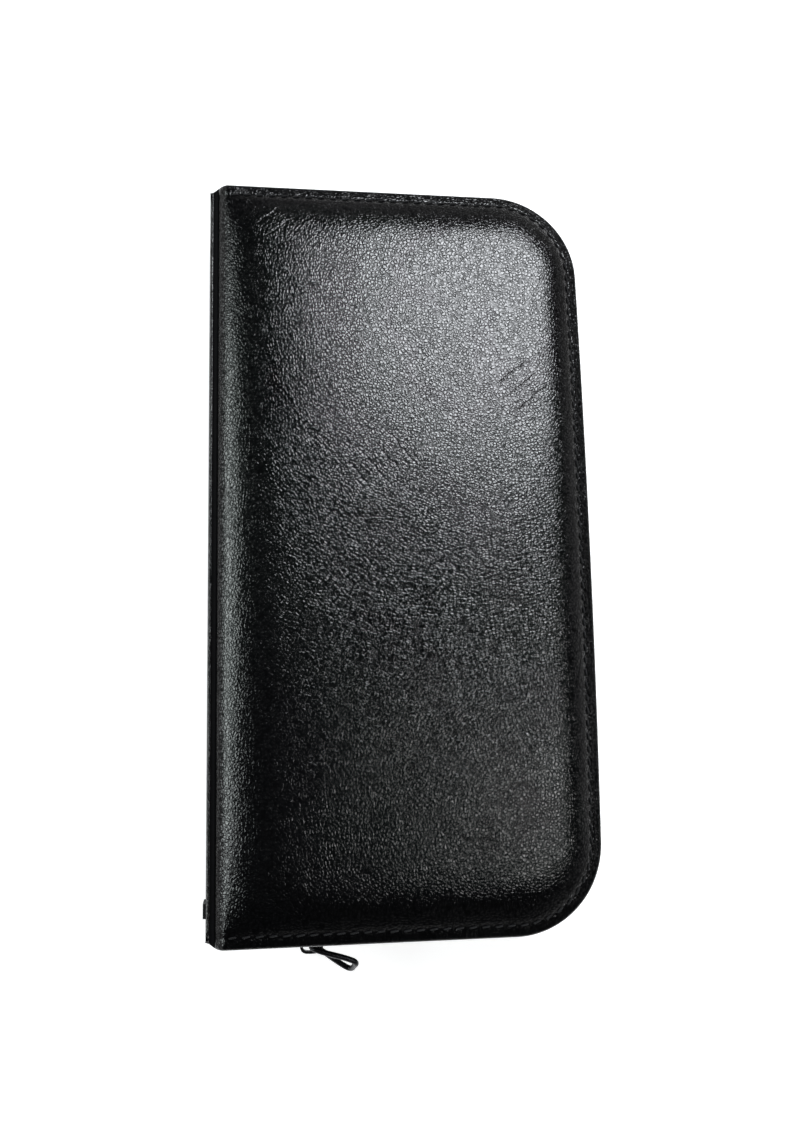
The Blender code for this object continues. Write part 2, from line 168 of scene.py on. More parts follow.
def inset_at(x, y):
    """Distance in from the three zip sides."""
    over_y = abs(y) - REACH
    over_x = x - (ZIP_SIDE_X - CORNER_RADIUS)
    if over_x > 0 and over_y > 0:
        return CORNER_RADIUS - hypot(over_x, over_y)
    return min(END_Y - abs(y), edge_x(y) - x)


def undulation(x, y):
    """The leather isn't flat: shallow swells a few centimetres long."""
    swell = sin(x / 11.0 + 0.6 * sin(y / 17.0)) * sin(y / 14.0 + 1.3)
    dent = sin(x / 6.3 - y / 9.1 + 2.0) * sin(y / 23.0 - x / 31.0)
    return 0.6 * swell + 0.4 * dent


def slope_width(x, y):
    """The padding slopes off more gently towards the case's two ends than towards its zip side."""
    from_end = END_Y - abs(y)
    from_side = edge_x(y) - x
    return SIDE_SLOPE_WIDTH + (END_SLOPE_WIDTH - SIDE_SLOPE_WIDTH) * smooth(-8.0, 12.0, from_side - from_end)


def crown_height(x, y):
    """Height of the cover's outer face above the rim's plane."""
    inset = inset_at(x, y)
    slope = 1 - exp(-(max(0.0, inset - SLOPE_START) / slope_width(x, y)) ** SLOPE_POWER)
    shoulder = 1 - exp(-max(0.0, x - FOLD_START_X) / SHOULDER_WIDTH)
    dome = DOME_HEIGHT * (1 - (1 - clamp01((inset - SLOPE_START) / DOME_END)) ** 2)
    height = (SLOPE_HEIGHT + dome + 0.12 * undulation(x, y)) * slope * shoulder
    height -= BORDER_DROOP * clamp01(1 - inset / BORDER)
    height += LIP_HEIGHT * bell(LIP_INSET, 0.6, inset)
    height -= STITCH_GROOVE * bell(STITCH_INSET, 0.55, inset)
    if inset < EDGE_ROUND:
        share = 1 - clamp01(inset / EDGE_ROUND)
        height -= EDGE_ROUND * (1 - sqrt(1 - share * share))
    return height


# Mesh helpers

def make_mesh(name, points, faces, finish, smooth_angle=radians(40)):
    mesh = bpy.data.meshes.new(name)
    mesh.from_pydata([Vector(point) * MM for point in points], [], faces)
    mesh.validate()
    bm = bmesh.new()
    bm.from_mesh(mesh)
    bmesh.ops.recalc_face_normals(bm, faces=bm.faces)
    bm.to_mesh(mesh)
    bm.free()
    mesh.materials.append(finish)
    mesh.shade_smooth()
    mesh.set_sharp_from_angle(angle=smooth_angle)
    piece = bpy.data.objects.new(name, mesh)
    bpy.context.scene.collection.objects.link(piece)
    return piece


def grid_faces(rows, columns, first=0, wrap=False):
    faces = []
    last = columns if wrap else columns - 1
    for i in range(rows - 1):
        for j in range(last):
            a = first + i * columns + j
            b = first + i * columns + (j + 1) % columns
            faces.append((a, b, b + columns, a + columns))
    return faces


def loft(name, sections, finish, closed=False, smooth_angle=radians(40)):
    """Skin a row of matching closed outlines, capping the ends unless the row is a ring."""
    columns = len(sections[0])
    points = [point for section in sections for point in section]
    faces = grid_faces(len(sections), columns, wrap=True)
    if closed:
        start = (len(sections) - 1) * columns
        for j in range(columns):
            k = (j + 1) % columns
            faces.append((start + j, start + k, k, j))
    else:
        faces.append(tuple(range(columns)))
        faces.append(tuple(range(len(points) - columns, len(points))))
    return make_mesh(name, points, faces, finish, smooth_angle)


def settle(piece):
    """Apply the piece's modifiers, so that its mesh is final."""
    graph = bpy.context.evaluated_depsgraph_get()
    final = bpy.data.meshes.new_from_object(piece.evaluated_get(graph))
    piece.modifiers.clear()
    piece.data = final
    return piece


def front_side(point):
    return point


def rear_side(point):
    return (point[0], point[1], TOP_Z - point[2])


# Procedural materials

def new_material(name, colour, roughness, metallic=0.0, specular=0.5, sheen=0.0):
    made = bpy.data.materials.new(name)
    made.use_nodes = True
    shader = made.node_tree.nodes["Principled BSDF"]
    shader.inputs["Base Color"].default_value = (*colour, 1.0)
    shader.inputs["Roughness"].default_value = roughness
    shader.inputs["Metallic"].default_value = metallic
    shader.inputs["Specular IOR Level"].default_value = specular
    shader.inputs["Sheen Weight"].default_value = sheen
    shader.inputs["Sheen Roughness"].default_value = 0.4
    return made, made.node_tree, shader


def millimetre_coordinates(tree, stretch=(1.0, 1.0, 1.0), turn=0.0):
    """Object coordinates in millimetres, which may be turned about Z and stretched."""
    place = tree.nodes.new("ShaderNodeTexCoord")
    scale = tree.nodes.new("ShaderNodeMapping")
    scale.inputs["Scale"].default_value = [value / MM for value in stretch]
    scale.inputs["Rotation"].default_value = (0.0, 0.0, turn)
    tree.links.new(place.outputs["Object"], scale.inputs["Vector"])
    return scale.outputs["Vector"]


def math_node(tree, operation, first, second=None, third=None):
    node = tree.nodes.new("ShaderNodeMath")
    node.operation = operation
    for slot_index, value in enumerate((first, second, third)):
        if value is None:
            continue
        if isinstance(value, (int, float)):
            node.inputs[slot_index].default_value = value
        else:
            tree.links.new(value, node.inputs[slot_index])
    return node.outputs[0]


def remap(tree, value, low, high, to_low, to_high):
    node = tree.nodes.new("ShaderNodeMapRange")
    node.interpolation_type = "SMOOTHSTEP"
    tree.links.new(value, node.inputs["Value"])
    node.inputs["From Min"].default_value = low
    node.inputs["From Max"].default_value = high
    node.inputs["To Min"].default_value = to_low
    node.inputs["To Max"].default_value = to_high
    return node.outputs["Result"]


def noise(tree, vector, scale, detail=2.0, roughness=0.5):
    node = tree.nodes.new("ShaderNodeTexNoise")
    node.inputs["Scale"].default_value = scale
    node.inputs["Detail"].default_value = detail
    node.inputs["Roughness"].default_value = roughness
    tree.links.new(vector, node.inputs["Vector"])
    return node


def voronoi(tree, vector, scale, feature="F1", randomness=1.0):
    node = tree.nodes.new("ShaderNodeTexVoronoi")
    node.feature = feature
    node.inputs["Scale"].default_value = scale
    node.inputs["Randomness"].default_value = randomness
    tree.links.new(vector, node.inputs["Vector"])
    return node


def shifted(tree, vector, source, amount):
    """Move a vector by a noise colour, centred on no shift."""
    centre = tree.nodes.new("ShaderNodeVectorMath")
    centre.operation = "SUBTRACT"
    centre.inputs[1].default_value = (0.5, 0.5, 0.5)
    tree.links.new(source, centre.inputs[0])
    scale = tree.nodes.new("ShaderNodeVectorMath")
    scale.operation = "SCALE"
    scale.inputs["Scale"].default_value = amount
    tree.links.new(centre.outputs[0], scale.inputs[0])
    add = tree.nodes.new("ShaderNodeVectorMath")
    add.operation = "ADD"
    tree.links.new(vector, add.inputs[0])
    tree.links.new(scale.outputs[0], add.inputs[1])
    return add.outputs[0]


def bump(tree, height, distance, strength=1.0, below=None):
    node = tree.nodes.new("ShaderNodeBump")
    node.inputs["Strength"].default_value = strength
    node.inputs["Distance"].default_value = distance * MM
    tree.links.new(height, node.inputs["Height"])
    if below is not None:
        tree.links.new(below, node.inputs["Normal"])
    return node.outputs["Normal"]


def colour_between(tree, share, dark, light, socket):
    ramp = tree.nodes.new("ShaderNodeValToRGB")
    ramp.color_ramp.elements[0].color = (*dark, 1.0)
    ramp.color_ramp.elements[1].color = (*light, 1.0)
    tree.links.new(share, ramp.inputs["Fac"])
    tree.links.new(ramp.outputs["Color"], socket)


def crease(tree, place, start, end):
    """A shallow line pressed into the leather between two points: -1 along it and 0 away from it."""
    local = tree.nodes.new("ShaderNodeMapping")
    local.vector_type = "TEXTURE"
    across = Vector(end) - Vector(start)
    local.inputs["Location"].default_value = (*((Vector(start) + Vector(end)) / 2), 0.0)
    local.inputs["Rotation"].default_value = (0.0, 0.0, atan2(across.y, across.x))
    tree.links.new(place, local.inputs["Vector"])
    split = tree.nodes.new("ShaderNodeSeparateXYZ")
    tree.links.new(local.outputs["Vector"], split.inputs["Vector"])
    aside = math_node(tree, "ABSOLUTE", split.outputs["Y"])
    along = math_node(tree, "ABSOLUTE", split.outputs["X"])
    depth = remap(tree, aside, 0.0, CREASE_WIDTH, -1.0, 0.0)
    inside = remap(tree, along, across.length * 0.25, across.length * 0.55, 1.0, 0.0)
    return math_node(tree, "MULTIPLY", depth, inside)


def leather_material(name, colour, roughness, grain_size, grain_depth, creases=()):
    """Pebbled leather: rounded grains between fine valleys, a finer pore texture, and soft creases."""
    made, tree, shader = new_material(name, colour, roughness, specular=0.5)
    place = millimetre_coordinates(tree)
    drift = noise(tree, place, 0.55, 3.0)
    wandering = shifted(tree, place, drift.outputs["Color"], 0.7)
    pebbles = voronoi(tree, wandering, 1.0 / grain_size, "DISTANCE_TO_EDGE")
    pebble_tops = remap(tree, pebbles.outputs["Distance"], 0.0, 0.3, 0.0, 1.0)
    size_blend = noise(tree, place, 0.9 / grain_size, 3.0, 0.6)
    height = math_node(tree, "MULTIPLY_ADD", pebble_tops, 0.6, size_blend.outputs["Fac"])
    swell = noise(tree, place, 0.16, 2.0)
    normal = bump(tree, swell.outputs["Fac"], 0.3, 0.35)
    normal = bump(tree, height, grain_depth, 1.0, normal)
    pores = noise(tree, place, 5.5, 3.0, 0.7)
    normal = bump(tree, pores.outputs["Fac"], 0.01, 1.0, normal)
    bent = shifted(tree, place, drift.outputs["Color"], 1.6)
    pressed = None
    for start, end in crease_lines(creases):
        line = crease(tree, bent, start, end)
        pressed = line if pressed is None else math_node(tree, "ADD", pressed, line)
    if pressed is not None:
        normal = bump(tree, pressed, CREASE_DEPTH, 1.0, normal)
    tree.links.new(normal, shader.inputs["Normal"])
    # Colour: painted shade darkens the valleys between the pebbles, and the pebble tops are lighter where
    # the noise is high, as wear
    valley_shade_and_wear = math_node(tree, "MULTIPLY", pebble_tops, size_blend.outputs["Fac"])
    colour_between(tree, valley_shade_and_wear, [c * 0.55 for c in colour], [c * 1.6 for c in colour],
                   shader.inputs["Base Color"])
    shine = remap(tree, size_blend.outputs["Fac"], 0.3, 0.75, roughness + 0.05, roughness - 0.05)
    tree.links.new(shine, shader.inputs["Roughness"])
    gloss = remap(tree, height, 0.35, 0.9, 0.16, 0.62)
    tree.links.new(gloss, shader.inputs["Specular IOR Level"])
    return made


def woven_material(name, colour, thread_size, depth, sheen=0.15):
    """A plain weave: two crossing sets of ribs with a little unevenness."""
    made, tree, shader = new_material(name, colour, 0.85, specular=0.25, sheen=sheen)
    place = millimetre_coordinates(tree)
    drift = noise(tree, place, 0.8, 2.0)
    bent = shifted(tree, place, drift.outputs["Color"], 0.25)
    split = tree.nodes.new("ShaderNodeSeparateXYZ")
    tree.links.new(bent, split.inputs["Vector"])
    waves = []
    for axis in ("X", "Y", "Z"):
        turns = math_node(tree, "MULTIPLY", split.outputs[axis], 2 * pi / thread_size)
        waves.append(math_node(tree, "SINE", turns))
    across = math_node(tree, "MULTIPLY", waves[0], waves[1])
    height = math_node(tree, "ADD", across, math_node(tree, "MULTIPLY", waves[2], 0.8))
    fuzz = noise(tree, place, 4.0, 4.0, 0.7)
    height = math_node(tree, "MULTIPLY_ADD", fuzz.outputs["Fac"], 1.2, height)
    normal = bump(tree, height, depth, 0.8)
    tree.links.new(normal, shader.inputs["Normal"])
    # Colour follows the weave's height: painted shade in the dips between threads, painted highlight on the
    # ribs
    colour_between(tree, remap(tree, height, -1.5, 2.5, 0.0, 1.0),
                   [c * 0.5 for c in colour], [c * 1.7 for c in colour], shader.inputs["Base Color"])
    return made


def suede_material(name, colour):
    """Brushed lining: fine nap with cloudy light and dark patches."""
    made, tree, shader = new_material(name, colour, 0.95, specular=0.12, sheen=0.5)
    place = millimetre_coordinates(tree)
    nap = noise(tree, place, 3.5, 5.0, 0.75)
    clouds = noise(tree, place, 0.25, 4.0, 0.65)
    blend = math_node(tree, "MULTIPLY_ADD", clouds.outputs["Fac"], 0.4, nap.outputs["Fac"])
    colour_between(tree, remap(tree, blend, 0.5, 1.0, 0.0, 1.0),
                   [c * 0.6 for c in colour], [c * 1.6 for c in colour], shader.inputs["Base Color"])
    tree.links.new(bump(tree, nap.outputs["Fac"], 0.12, 0.7), shader.inputs["Normal"])
    return made


def thread_material(name, colour):
    """Twisted waxed thread: slanting strands."""
    made, tree, shader = new_material(name, colour, 0.55, specular=0.25)
    place = millimetre_coordinates(tree, (1.0, 1.0, 1.0), 0.8)
    strands = tree.nodes.new("ShaderNodeTexWave")
    strands.inputs["Scale"].default_value = 1.1
    strands.inputs["Distortion"].default_value = 0.6
    tree.links.new(place, strands.inputs["Vector"])
    tree.links.new(bump(tree, strands.outputs["Fac"], 0.08, 0.8), shader.inputs["Normal"])
    # Colour follows the strands: painted shade in the grooves between them, lighter on their crowns as
    # painted highlight
    colour_between(tree, strands.outputs["Fac"], [c * 0.6 for c in colour], [c * 1.3 for c in colour],
                   shader.inputs["Base Color"])
    return made


def coated_metal_material(name, colour):
    """Black coated metal with fine handling scratches and brighter worn spots."""
    made, tree, shader = new_material(name, colour, 0.3, metallic=0.85)
    place = millimetre_coordinates(tree)
    grime = noise(tree, place, 0.9, 4.0, 0.65)
    shine = remap(tree, grime.outputs["Fac"], 0.3, 0.7, 0.42, 0.22)
    tree.links.new(shine, shader.inputs["Roughness"])
    scratches = noise(tree, millimetre_coordinates(tree, (0.4, 6.0, 6.0), 0.5), 1.2, 3.0, 0.7)
    tree.links.new(bump(tree, scratches.outputs["Fac"], 0.02, 0.5), shader.inputs["Normal"])
    worn = remap(tree, grime.outputs["Fac"], 0.62, 0.8, 0.0, 1.0)
    colour_between(tree, worn, colour, (0.22, 0.21, 0.2), shader.inputs["Base Color"])
    return made


def nylon_material(name, colour):
    """Moulded nylon coil: half-gloss with faint streaks."""
    made, tree, shader = new_material(name, colour, 0.38, specular=0.5)
    place = millimetre_coordinates(tree)
    streaks = noise(tree, place, 2.2, 3.0, 0.6)
    tree.links.new(remap(tree, streaks.outputs["Fac"], 0.3, 0.7, 0.3, 0.5), shader.inputs["Roughness"])
    tree.links.new(bump(tree, streaks.outputs["Fac"], 0.03, 0.4), shader.inputs["Normal"])
    colour_between(tree, streaks.outputs["Fac"], [c * 0.7 for c in colour], [c * 1.3 for c in colour],
                   shader.inputs["Base Color"])
    return made


def groove_leather_material(name, colour):
    """Flat leather in the groove, left dull because no polish reaches it."""
    made, tree, shader = new_material(name, colour, 0.75, specular=0.06)
    wrinkles = noise(tree, millimetre_coordinates(tree, (1.0, 0.3, 1.0)), 1.4, 4.0, 0.65)
    tree.links.new(bump(tree, wrinkles.outputs["Fac"], 0.08, 0.7), shader.inputs["Normal"])
    colour_between(tree, wrinkles.outputs["Fac"], [c * 0.5 for c in colour], [c * 1.8 for c in colour],
                   shader.inputs["Base Color"])
    return made


def foam_material(name, colour):
    made, tree, shader = new_material(name, colour, 0.95, specular=0.1)
    cells = voronoi(tree, millimetre_coordinates(tree), 2.0)
    tree.links.new(bump(tree, cells.outputs["Distance"], 0.2, 0.7), shader.inputs["Normal"])
    colour_between(tree, cells.outputs["Distance"], colour, [c * 0.6 for c in colour],
                   shader.inputs["Base Color"])
    return made


def board_material(name, colour):
    made, tree, shader = new_material(name, colour, 0.9, specular=0.15)
    fibres = noise(tree, millimetre_coordinates(tree, (0.3, 1.0, 1.0)), 2.5, 5.0, 0.7)
    tree.links.new(bump(tree, fibres.outputs["Fac"], 0.05, 0.5), shader.inputs["Normal"])
    colour_between(tree, fibres.outputs["Fac"], [c * 0.7 for c in colour], [c * 1.25 for c in colour],
                   shader.inputs["Base Color"])
    return made


LEATHER_COLOUR = (0.0024, 0.0024, 0.0027)
finish = {
    "front_leather": leather_material("front_pebbled_leather", LEATHER_COLOUR, 0.17, 0.75, 0.048,
                                      FRONT_CREASES),
    "rear_leather": leather_material("rear_pebbled_leather", LEATHER_COLOUR, 0.17, 0.75, 0.048,
                                     REAR_CREASES),
    "smooth_leather": leather_material("fine_leather", (0.012, 0.012, 0.013), 0.5, 0.45, 0.03),
    "lining": suede_material("brushed_lining", (0.022, 0.022, 0.025)),
    "groove_leather": groove_leather_material("groove_leather", LEATHER_COLOUR),
    "thread": thread_material("waxed_thread", (0.009, 0.009, 0.01)),
    "tape": woven_material("zip_tape_weave", (0.012, 0.012, 0.014), 0.7, 0.06),
    "elastic": woven_material("elastic_weave", (0.016, 0.016, 0.018), 0.9, 0.1),
    "coil": nylon_material("nylon_coil", (0.012, 0.012, 0.014)),
    "metal": coated_metal_material("black_coated_metal", (0.02, 0.02, 0.022)),
    "foam": foam_material("grey_foam", (0.2, 0.2, 0.21)),
    "board": board_material("fibre_board", (0.3, 0.26, 0.21)),
}


# Cover leather: one skin from the zip edge over the crown, round the fold and half way down the spine

def row_positions():
    """Rows along the case: close together round the corners, evenly spaced between them."""
    corner_rows = 34
    straight_rows = 126
    rows = [REACH + CORNER_RADIUS * sin(pi / 2 * (1 - i / corner_rows)) for i in range(corner_rows)]
    rows += [REACH * (1 - 2 * i / straight_rows) for i in range(straight_rows + 1)]
    rows += [-y for y in reversed(rows[:corner_rows])]
    return rows


def column_positions(right_x):
    """Columns across the cover: fine over the ridge and at the edge, wider between them."""
    left = [0.7 * i for i in range(24)]
    right = [0.0, 0.12, 0.26, 0.42, 0.6, 0.85] + [1.1 + 0.3 * i for i in range(14)]
    start = FOLD_START_X + left[-1]
    stop = right_x - right[-1]
    middle_columns = 62
    middle = [start + (stop - start) * i / middle_columns for i in range(1, middle_columns)]
    return [FOLD_START_X + step for step in left] + middle + [right_x - step for step in reversed(right)]


def end_y_at(x):
    """How far the skin reaches along the case: the corners by the spine are rounded in plan."""
    past = 0.98 * clamp01((FOLD_START_X - x) / (FOLD_START_X - LEFT_X))
    return END_Y - END_ROUND * (1 - (1 - past ** END_POWER) ** (1 / END_POWER))


WALL_STEPS = 8
ROLL_STEPS = 7
GROOVE_COLUMNS = range(WALL_STEPS + ROLL_STEPS, WALL_STEPS + ROLL_STEPS + 3)


def fold_profile(row_height):
    """The section up the spine, round its rolled edge, through the groove and on to the cover, as (x, z)."""
    arc_steps = 8
    profile = []
    for i in range(WALL_STEPS):
        profile.append((LEFT_X, MIDDLE_Z + (ROLL_Z - MIDDLE_Z) * i / WALL_STEPS))
    for i in range(ROLL_STEPS + 1):
        turn = ROLL_TURN * i / ROLL_STEPS
        profile.append((LEFT_X + ROLL_RADIUS * (1 - cos(turn)), ROLL_Z + ROLL_RADIUS * sin(turn)))
    profile += GROOVE
    rise = (RIM_Z + row_height - FOLD_BOTTOM_Z) / sin(FOLD_TURN)
    for i in range(arc_steps):
        turn = FOLD_FIRST_TURN + (FOLD_TURN - FOLD_FIRST_TURN) * i / arc_steps
        profile.append((LEFT_X + FOLD_RADIUS * (1 - cos(turn)), FOLD_BOTTOM_Z + rise * sin(turn)))
    return profile


def cover_skin(side, mirror):
    """The outer face as a grid, thickened inwards into a closed skin."""
    points = []
    rows = row_positions()
    for y in rows:
        row = []
        for x, z in fold_profile(crown_height(FOLD_START_X, y)):
            row.append((x, y * end_y_at(x) / END_Y, z))
        for x in column_positions(edge_x(y)):
            row.append((x, y, RIM_Z + crown_height(x, y)))
        points += row
    columns = len(points) // len(rows)
    placed = [mirror(point) for point in points]
    faces = grid_faces(len(rows), columns)
    if mirror is front_side:
        faces = [tuple(reversed(face)) for face in faces]
    mesh = bpy.data.meshes.new(f"{side}_leather_skin")
    mesh.from_pydata([Vector(point) * MM for point in placed], [], faces)
    mesh.materials.append(finish[f"{side}_leather"])
    mesh.materials.append(finish["groove_leather"])
    for face in mesh.polygons:
        if face.index % (columns - 1) in GROOVE_COLUMNS:
            face.material_index = 1
    mesh.shade_smooth()
    piece = bpy.data.objects.new(f"{side}_leather_skin", mesh)
    bpy.context.scene.collection.objects.link(piece)
    thick = piece.modifiers.new("thickness", "SOLIDIFY")
    thick.thickness = SKIN * MM
    thick.offset = -1.0
    settle(piece)
    piece.data.set_sharp_from_angle(angle=radians(50))
    start = mirror((LEFT_X, 0.0, ROLL_Z))
    end = mirror((FOLD_START_X, 0.0, RIM_Z))
    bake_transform(piece)
    return piece


front_skin = cover_skin("front", front_side)
rear_skin = cover_skin("rear", rear_side)
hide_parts("front_cover_leather")
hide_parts("rear_cover_leather", "spine_leather")


# Paths round the three zip sides

def zip_stations(inset, start_x, end_x, spacing):
    """Points every so often round the zip sides, as (x, y, outward x, outward y)."""
    radius = CORNER_RADIUS - inset
    centre_x = ZIP_SIDE_X - CORNER_RADIUS
    dense = []
    steps = 400
    for i in range(steps + 1):
        dense.append((start_x + (centre_x - start_x) * i / steps, END_Y - inset))
    for i in range(1, steps + 1):
        turn = pi / 2 * (1 - i / steps)
        dense.append((centre_x + radius * cos(turn), REACH + radius * sin(turn)))
    for i in range(1, steps * 2):
        y = REACH * (1 - i / steps)
        dense.append((edge_x(y) - inset, y))
    for i in range(steps + 1):
        turn = -pi / 2 * i / steps
        dense.append((centre_x + radius * cos(turn), -REACH + radius * sin(turn)))
    for i in range(1, steps + 1):
        dense.append((centre_x + (end_x - centre_x) * i / steps, inset - END_Y))
    track = np.array(dense)
    lengths = np.concatenate(([0.0], np.cumsum(np.hypot(*np.diff(track, axis=0).T))))
    count = max(2, int(round(lengths[-1] / spacing)))
    marks = np.linspace(0.0, lengths[-1], count + 1)
    xs = np.interp(marks, lengths, track[:, 0])
    ys = np.interp(marks, lengths, track[:, 1])
    tangent_x = np.gradient(xs)
    tangent_y = np.gradient(ys)
    size = np.hypot(tangent_x, tangent_y)
    return [
        (float(x), float(y), float(-ty / s), float(tx / s))
        for x, y, tx, ty, s in zip(xs, ys, tangent_x, tangent_y, size)
    ]


def sweep_zip_sides(name, outline, material_used, mirror, start_x, end_x, spacing=2.5):
    """Sweep a closed outline of (inset, height above the rim plane) corners round the zip sides."""
    sections = []
    for x, y, out_x, out_y in zip_stations(0.0, start_x, end_x, spacing):
        sections.append([
            mirror((x - out_x * inset, y - out_y * inset, RIM_Z + height))
            for inset, height in outline
        ])
    return loft(name, sections, material_used)


# Stitching: one slanting loop of thread for each stitch

def stitch(points, faces, centre, along, across, up, length, radius):
    """A bent thread that dips into the leather at both ends."""
    rings = 7
    sides = 6
    first = len(points)
    for i in range(rings):
        share = i / (rings - 1) * 2 - 1
        sink = radius * 1.7 * share ** 4
        middle = centre + along * (share * length / 2) + up * (radius * 0.75 - sink)
        thick = radius * (1 - 0.35 * share ** 6)
        for j in range(sides):
            turn = 2 * pi * j / sides
            points.append(middle + across * (thick * cos(turn)) + up * (thick * sin(turn)))
    faces += grid_faces(rings, sides, first, wrap=True)
    faces.append(tuple(range(first, first + sides)))
    last = first + (rings - 1) * sides
    faces.append(tuple(range(last, last + sides)))


def stitched_line(name, stations, height_at, body, mirror, length=2.1, radius=0.24, slant=0.16):
    points = []
    faces = []
    for x, y, out_x, out_y in stations:
        tangent = Vector((out_y, -out_x, 0.0))
        outward = Vector((out_x, out_y, 0.0))
        wobble = random.uniform(-0.04, 0.04)
        along = (tangent + outward * (slant + wobble)).normalized()
        across = Vector((0.0, 0.0, 1.0)).cross(along)
        centre = Vector((x, y, height_at(x, y))) + outward * random.uniform(-0.05, 0.05)
        size = length * random.uniform(0.93, 1.05)
        stitch(points, faces, centre, along, across, Vector((0.0, 0.0, 1.0)), size, radius)
    piece = make_mesh(name, [mirror(tuple(point)) for point in points], faces, finish["thread"])
    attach(piece, body)
    return piece


def skin_z(x, y):
    return RIM_Z + crown_height(x, y)


for side, mirror in (("front", front_side), ("rear", rear_side)):
    stations = zip_stations(STITCH_INSET, -39.5, -39.5, STITCH_PITCH)
    seam = stitched_line(f"{side}_edge_stitches", stations, skin_z, f"{side}_cover", mirror)
    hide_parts(f"{side}_edge_stitching")


# Turned edge under each rim, where the leather folds back over itself

TURNED_EDGE = [
    (0.25, -1.25), (0.08, -1.45), (0.05, -1.75), (0.2, -2.0), (0.5, -2.1), (1.2, -2.1), (1.55, -1.9),
    (1.6, -1.4),
]
for side, mirror in (("front", front_side), ("rear", rear_side)):
    edge = sweep_zip_sides(f"{side}_turned_edge", TURNED_EDGE, finish["smooth_leather"], mirror,
                           -41.0, -41.0)
    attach(edge, f"{side}_cover")


# The inside of each cover. Depths run in from the rear cover's underside, and the front mirrors them

def place_on(piece, body, slot_name, *nodes):
    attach(piece, body)
    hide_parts(*nodes)
    return piece


def closed_outline(inset, left_x, corner=1.5, spacing=2.0):
    """The three zip sides moved in by inset, closed by a straight side at left_x with round corners."""
    outline = []
    for x, y, out_x, out_y in zip_stations(0.0, left_x + corner, left_x + corner, spacing):
        outline.append((x - out_x * inset, y - out_y * inset))
    corner_steps = 6
    for centre_y, first in ((inset + corner - END_Y, -pi / 2), (END_Y - inset - corner, -pi)):
        for i in range(1, corner_steps):
            turn = first - pi / 2 * i / corner_steps
            outline.append((left_x + corner + corner * cos(turn), centre_y + corner * sin(turn)))
    return outline


def rounded_slab(name, inset, left_x, low, high, edge, material_used, mirror):
    """A flat layer with the cover's outline and rounded edges."""
    rings = (
        (edge, low), (edge * 0.3, low + edge * 0.3), (0.0, low + edge),
        (0.0, high - edge), (edge * 0.3, high - edge * 0.3), (edge, high),
    )
    base = closed_outline(inset, left_x)
    middle_x = (left_x + SIDE_X - inset) / 2
    half_x = (SIDE_X - inset - left_x) / 2
    half_y = END_Y - inset
    sections = []
    for shrink, z in rings:
        scale_x = 1 - shrink / half_x
        scale_y = 1 - shrink / half_y
        sections.append([
            mirror((middle_x + (x - middle_x) * scale_x, y * scale_y, z)) for x, y in base
        ])
    return loft(name, sections, material_used)


LINING_Z = (5.6, 6.3)
LINING_INSET = 2.8
LINING_LEFT_X = -41.0
LINING_STITCH_INSET = 5.2
for side, mirror in (("rear", front_side), ("front", rear_side)):
    cloth = rounded_slab(f"{side}_lining_cloth", LINING_INSET, LINING_LEFT_X, *LINING_Z, 0.25,
                         finish["lining"], mirror)
    place_on(cloth, f"{side}_cover", "lining", f"{side}_lining")
    stations = zip_stations(LINING_STITCH_INSET, -38.5, -38.5, STITCH_PITCH)
    stitched_line(f"{side}_lining_stitches", stations, lambda x, y: LINING_Z[1], f"{side}_cover", mirror)


# Lining strips that carry the cloth across both folds

FOLD_STRIP_HALF_LENGTH = 81.5
FOLD_STRIP_THICKNESS = 0.35
FOLD_STRIP = [
    (-35.5, 6.47), (-38.0, 6.47), (-39.8, 6.5), (-40.7, 6.6), (-41.3, 6.85), (-41.65, 7.3), (-41.8, 7.9),
    (-41.85, 8.8), (-41.86, 10.2), (-41.87, 12.8),
]


def fold_strip(side, mirror):
    """A bent strip of cloth from the cover's lining up on to the spine's, with some slack."""
    rows = 56
    sections = []
    for i in range(rows + 1):
        y = FOLD_STRIP_HALF_LENGTH * (2 * i / rows - 1)
        slack = 0.08 * sin(y / 4.3) + 0.06 * sin(y / 1.9 + 1.0)
        inner = [(x + slack * 0.5, y, z + slack * 0.5) for x, z in FOLD_STRIP]
        outer = [(x - FOLD_STRIP_THICKNESS * 0.5, y, z - FOLD_STRIP_THICKNESS * 0.3)
                 for x, _, z in reversed(inner)]
        sections.append([mirror(point) for point in inner + outer])
    strip = loft(f"{side}_fold_lining", sections, finish["lining"])
    start = mirror((-39.6, 0.0, 6.4))
    end = mirror((-41.9, 0.0, 8.9))
    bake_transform(strip)


fold_strip("rear", front_side)
fold_strip("front", rear_side)


# Zip tapes and coils

TAPE_OUTLINE = [
    (1.9, -22.4), (1.9, -12.8), (2.15, -12.65), (2.4, -12.8), (2.4, -21.9), (6.9, -21.9), (6.9, -22.4),
]
TOOTH_PITCH = 1.6
TOOTH_WIDTH = 0.72
TOOTH_OUTLINE = [
    (0.75, 12.25), (0.42, 12.7), (0.38, 13.5), (0.42, 14.4), (0.36, 15.0), (0.5, 15.45), (0.95, 15.6),
    (1.4, 15.45), (1.6, 15.0), (1.52, 14.4), (1.6, 13.5), (1.6, 12.7), (1.3, 12.25),
]
CORD_OUTLINE = [
    (0.55, 12.15), (0.45, 12.4), (0.5, 12.75), (0.9, 12.95), (1.5, 12.9), (1.75, 12.5), (1.6, 12.15),
]


